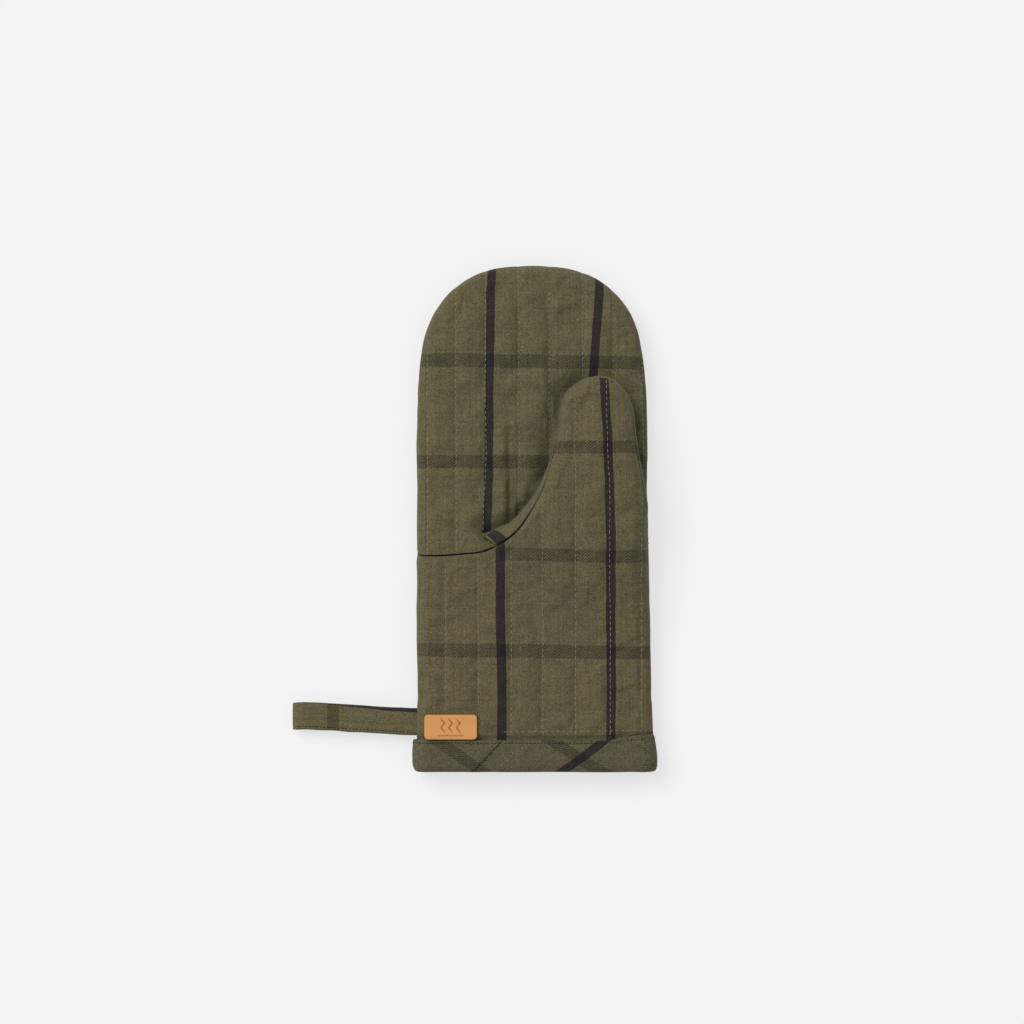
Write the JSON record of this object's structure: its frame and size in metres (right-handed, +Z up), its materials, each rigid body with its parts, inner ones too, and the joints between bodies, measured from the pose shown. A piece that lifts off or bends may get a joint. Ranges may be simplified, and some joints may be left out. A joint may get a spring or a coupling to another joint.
{
  "type": "oven mitt",
  "caption": "Quilted plaid oven mitt lying on its back, thumb folded over the palm, with a bias-bound cuff, a strap hanging loop and a small leather label.",
  "frame": {"origin": "on the flat face that the mitt lies on, halfway between the mouth and the finger end, on the palm's centre line", "axes": "+X across the palm towards the thumb's side, +Y from the mouth to the finger end, +Z up from the back to the palm"},
  "size_m": [0.233, 0.3258, 0.0315],
  "materials": {
    "plaid_twill": "olive twill with dark stripes",
    "bias_binding": "the same twill cut on the bias",
    "strap": "the same twill, folded and stitched",
    "wadding": "needled heat-resistant felt",
    "lining": "plain olive cotton",
    "thread": "matt sewing thread",
    "label_leather": "vegetable-tanned tan"
  },
  "bodies": {
    "back": {"back_outer": "plaid_twill", "back_wadding": "wadding", "back_lining": "lining", "back_quilting": "thread", "cuff_binding_back": "bias_binding", "binding_stitch_back": "thread"},
    "palm": {"lower_palm_outer": "plaid_twill", "lower_palm_wadding": "wadding", "lower_palm_lining": "lining", "lower_palm_quilting": "thread", "finger_palm_outer": "plaid_twill", "finger_palm_wadding": "wadding", "finger_palm_lining": "lining", "finger_palm_quilting": "thread", "cuff_binding_palm": "bias_binding", "binding_stitch_palm": "thread"},
    "thumb": {"thumb_front_outer": "plaid_twill", "thumb_front_wadding": "wadding", "thumb_front_lining": "lining", "thumb_back_outer": "plaid_twill", "thumb_back_wadding": "wadding", "thumb_back_lining": "lining", "thumb_quilting": "thread"},
    "label": {"leather_label": "label_leather"},
    "loop": {"hanging_loop": "strap", "loop_stitch": "thread"}
  },
  "joints": [
    {"name": "mouth_open", "type": "hinge", "parent": "back", "child": "palm", "pos_m": [0, 0.1629, 0.0086], "axis": [-1, 0, 0], "range_deg": [0, 6]},
    {"name": "thumb_swing", "type": "hinge", "parent": "palm", "child": "thumb", "pos_m": [0.0285, -0.01275, 0.0315], "axis": [1, 0, 0], "range_deg": [0, 75]},
    {"name": "label_lift", "type": "hinge", "parent": "palm", "child": "label", "pos_m": [-0.052, -0.1415, 0.0175], "axis": [1, 0, 0], "range_deg": [0, 70]},
    {"name": "loop_swing", "type": "hinge", "parent": "back", "child": "loop", "pos_m": [-0.0764, -0.13005, 0.0086], "axis": [0, 1, 0], "range_deg": [0, 90]}
  ]
}
